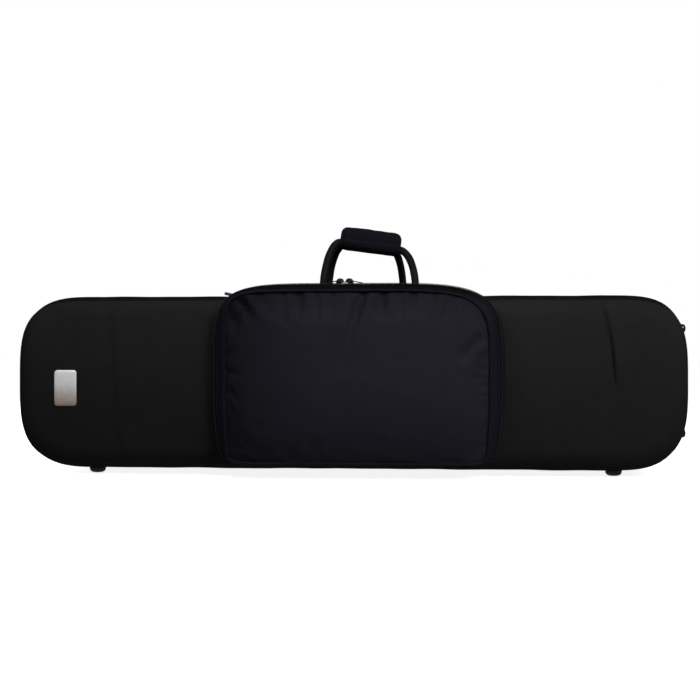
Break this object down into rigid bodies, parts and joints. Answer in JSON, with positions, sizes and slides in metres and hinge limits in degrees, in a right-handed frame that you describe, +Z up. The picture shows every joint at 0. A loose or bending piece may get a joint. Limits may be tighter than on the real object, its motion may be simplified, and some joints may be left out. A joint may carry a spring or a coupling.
{
  "type": "trombone case",
  "caption": "Straight trombone case with zipped clamshell halves, front music pocket, twin-loop handle, foam bed and feet.",
  "frame": {"origin": "centre of the bounding box in plan, on the surface that the four feet stand on", "axes": "+X along the case towards the end with the studs, +Y towards the plain rear face, +Z up to the handle"},
  "size_m": [0.9538, 0.285, 0.3609],
  "materials": {
    "shell_cloth": "matte",
    "side_nylon": "matte",
    "pocket_nylon": "matte",
    "grip_nylon": "matte",
    "handle_cord": "satin",
    "zip_tape": "matte",
    "piping": "satin",
    "plush_lining": "matte",
    "foot_plastic": "gloss",
    "slider_metal": "satin",
    "ring_metal": "polished",
    "badge_metal": "satin"
  },
  "bodies": {
    "rear_half": {"rear_panel": "shell_cloth", "rear_side_band": "side_nylon", "rear_zip_chain": "zip_tape", "rear_hinge_tape": "side_nylon", "rear_foot_left": "foot_plastic", "rear_foot_right": "foot_plastic", "rear_end_stud_upper": "foot_plastic", "rear_end_stud_lower": "foot_plastic", "rear_handle_loop": "handle_cord", "rear_grip_wrap": "grip_nylon", "rear_handle_anchor_left": "grip_nylon", "rear_handle_anchor_right": "grip_nylon", "foam_bed": "plush_lining", "strap_ring_tab_left": "side_nylon", "strap_ring_tab_right": "side_nylon"},
    "front_half": {"front_panel": "shell_cloth", "front_side_band": "side_nylon", "front_zip_chain": "zip_tape", "front_hinge_tape": "side_nylon", "front_foot_left": "foot_plastic", "front_foot_right": "foot_plastic", "front_end_stud_upper": "foot_plastic", "front_end_stud_lower": "foot_plastic", "front_handle_loop": "handle_cord", "front_grip_wrap": "grip_nylon", "front_handle_anchor_left": "grip_nylon", "front_handle_anchor_right": "grip_nylon", "lid_liner": "plush_lining", "badge_plate": "badge_metal", "pocket_gusset": "pocket_nylon", "pocket_zip_chain_rear": "zip_tape"},
    "pocket_cover": {"pocket_flap": "pocket_nylon", "pocket_zip_chain_front": "zip_tape", "pocket_piping": "piping"},
    "accessory_lid": {"accessory_box_lid": "plush_lining", "accessory_box_tab": "side_nylon"},
    "left_keeper": {"keeper_strap_left": "side_nylon"},
    "right_keeper": {"keeper_strap_right": "side_nylon"},
    "left_ring": {"strap_ring_left": "ring_metal"},
    "right_ring": {"strap_ring_right": "ring_metal"},
    "main_left_slider": {"main_slider_left": "slider_metal"},
    "main_right_slider": {"main_slider_right": "slider_metal"},
    "main_left_pull": {"main_pull_left": "slider_metal"},
    "main_right_pull": {"main_pull_right": "slider_metal"},
    "pocket_left_slider": {"pocket_slider_left": "slider_metal"},
    "pocket_right_slider": {"pocket_slider_right": "slider_metal"},
    "pocket_left_pull": {"pocket_pull_left": "slider_metal"},
    "pocket_right_pull": {"pocket_pull_right": "slider_metal"}
  },
  "joints": [
    {"name": "shell_hinge", "type": "hinge", "parent": "rear_half", "child": "front_half", "pos_m": [-0.0006, 0.0225, 0.0087], "axis": [1, 0, 0], "range_deg": [0, 150]},
    {"name": "pocket_hinge", "type": "hinge", "parent": "front_half", "child": "pocket_cover", "pos_m": [0.0152, -0.1195, 0.0255], "axis": [1, 0, 0], "range_deg": [0, 90]},
    {"name": "accessory_lid_hinge", "type": "hinge", "parent": "rear_half", "child": "accessory_lid", "pos_m": [-0.3476, 0.0285, 0.0403], "axis": [1, 0, 0], "range_deg": [0, 90]},
    {"name": "keeper_hinge_left", "type": "hinge", "parent": "rear_half", "child": "left_keeper", "pos_m": [-0.2516, 0.0272, 0.193], "axis": [1, 0, 0], "range_deg": [0, 150]},
    {"name": "keeper_hinge_right", "type": "hinge", "parent": "rear_half", "child": "right_keeper", "pos_m": [0.1399, 0.0272, 0.193], "axis": [1, 0, 0], "range_deg": [0, 150]},
    {"name": "ring_hinge_left", "type": "hinge", "parent": "rear_half", "child": "left_ring", "pos_m": [-0.1776, 0.0545, 0.2612], "axis": [0, 1, 0], "range_deg": [0, 120]},
    {"name": "ring_hinge_right", "type": "hinge", "parent": "rear_half", "child": "right_ring", "pos_m": [0.1414, 0.0545, 0.2612], "axis": [0, -1, 0], "range_deg": [0, 120]},
    {"name": "main_zip_left", "type": "slide", "parent": "rear_half", "child": "main_left_slider", "axis": [-1, 0, 0], "range_m": [0, 0.27]},
    {"name": "main_zip_right", "type": "slide", "parent": "rear_half", "child": "main_right_slider", "axis": [1, 0, 0], "range_m": [0, 0.42]},
    {"name": "main_pull_hinge_left", "type": "hinge", "parent": "main_left_slider", "child": "main_left_pull", "pos_m": [-0.0876, 0.0225, 0.2615], "axis": [0, 1, 0], "range_deg": [0, 120]},
    {"name": "main_pull_hinge_right", "type": "hinge", "parent": "main_right_slider", "child": "main_right_pull", "pos_m": [-0.0696, 0.0225, 0.2615], "axis": [0, -1, 0], "range_deg": [0, 120]},
    {"name": "pocket_zip_left", "type": "slide", "parent": "front_half", "child": "pocket_left_slider", "axis": [-1, 0, 0], "range_m": [0, 0.05]},
    {"name": "pocket_zip_right", "type": "slide", "parent": "front_half", "child": "pocket_right_slider", "axis": [1, 0, 0], "range_m": [0, 0.07]},
    {"name": "pocket_pull_hinge_left", "type": "hinge", "parent": "pocket_left_slider", "child": "pocket_left_pull", "pos_m": [-0.0079, -0.1195, 0.2742], "axis": [0, 1, 0], "range_deg": [0, 120]},
    {"name": "pocket_pull_hinge_right", "type": "hinge", "parent": "pocket_right_slider", "child": "pocket_right_pull", "pos_m": [0.0047, -0.1195, 0.2742], "axis": [0, -1, 0], "range_deg": [0, 120]}
  ]
}
